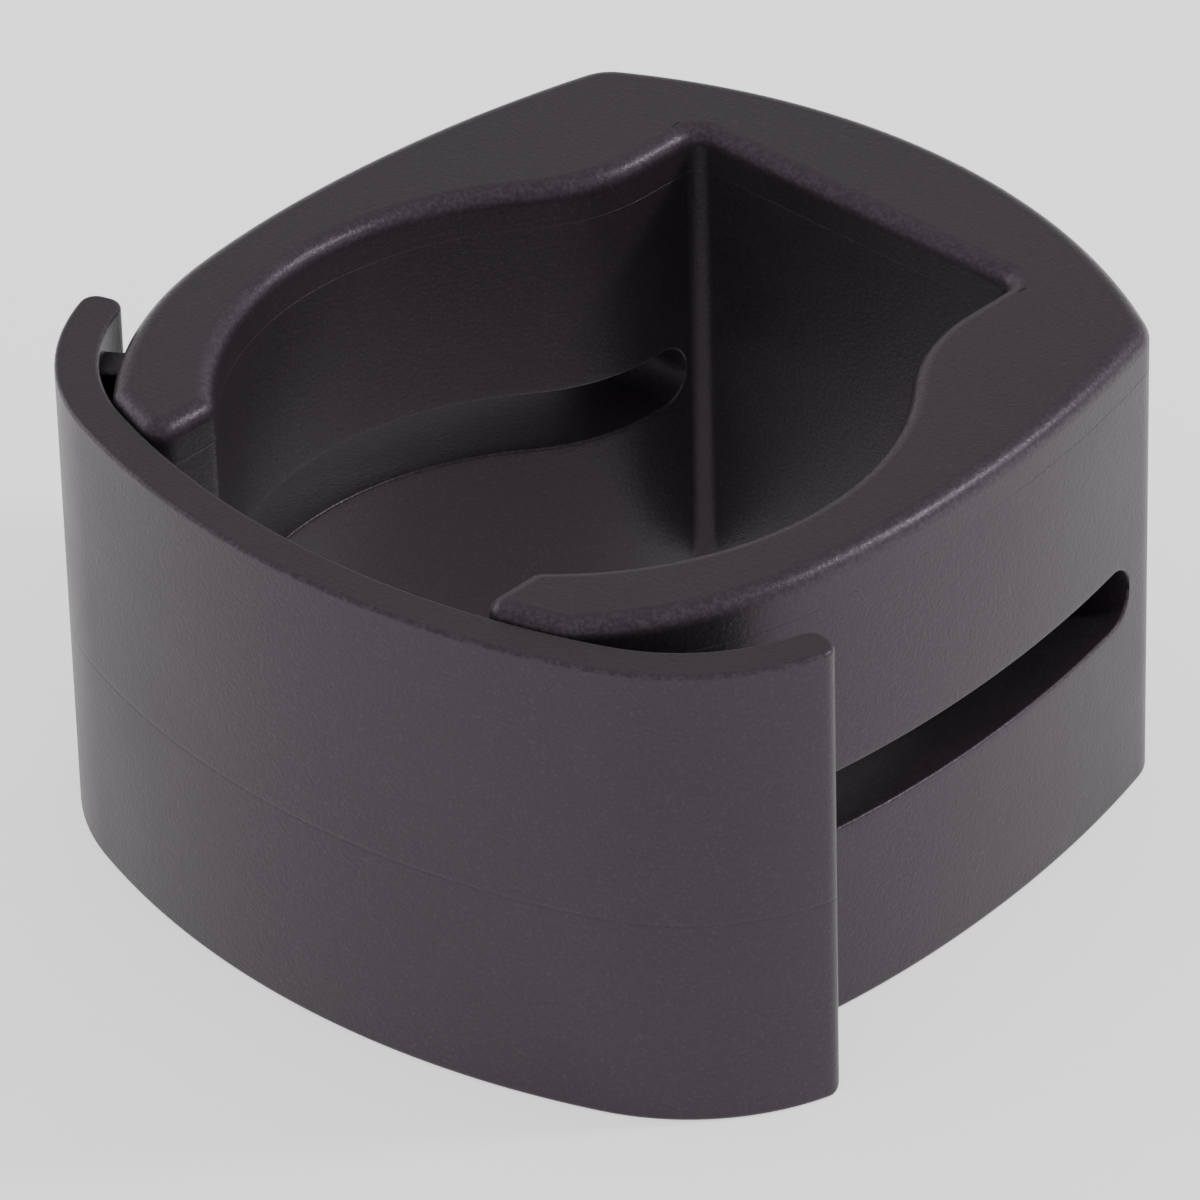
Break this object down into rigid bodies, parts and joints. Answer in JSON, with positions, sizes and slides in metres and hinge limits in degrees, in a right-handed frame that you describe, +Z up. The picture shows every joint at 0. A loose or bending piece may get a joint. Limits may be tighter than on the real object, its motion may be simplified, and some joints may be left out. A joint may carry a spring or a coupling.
{
  "type": "tube collar",
  "caption": "Moulded plastic collar with a keyhole socket for a round tube, long side slots and a curved front plate with turned-back wings that slides on from below.",
  "frame": {"origin": "on the tube socket's axis, level with the collar's underside", "axes": "+Z up the tube, -Y towards the front plate, +X to the right seen from the front"},
  "size_m": [0.0618, 0.0619, 0.0336],
  "materials": {
    "collar_plastic": "spark-eroded matt",
    "rim_plastic": "spark-eroded matt",
    "plate_plastic": "spark-eroded matt"
  },
  "bodies": {
    "collar": {"collar_body": "collar_plastic", "rim_cap": "rim_plastic"},
    "plate": {"front_plate": "plate_plastic"}
  },
  "joints": [
    {"name": "plate_slide", "type": "slide", "parent": "collar", "child": "plate", "axis": [0, 0, 1], "range_m": [-0.0345, 0]}
  ]
}
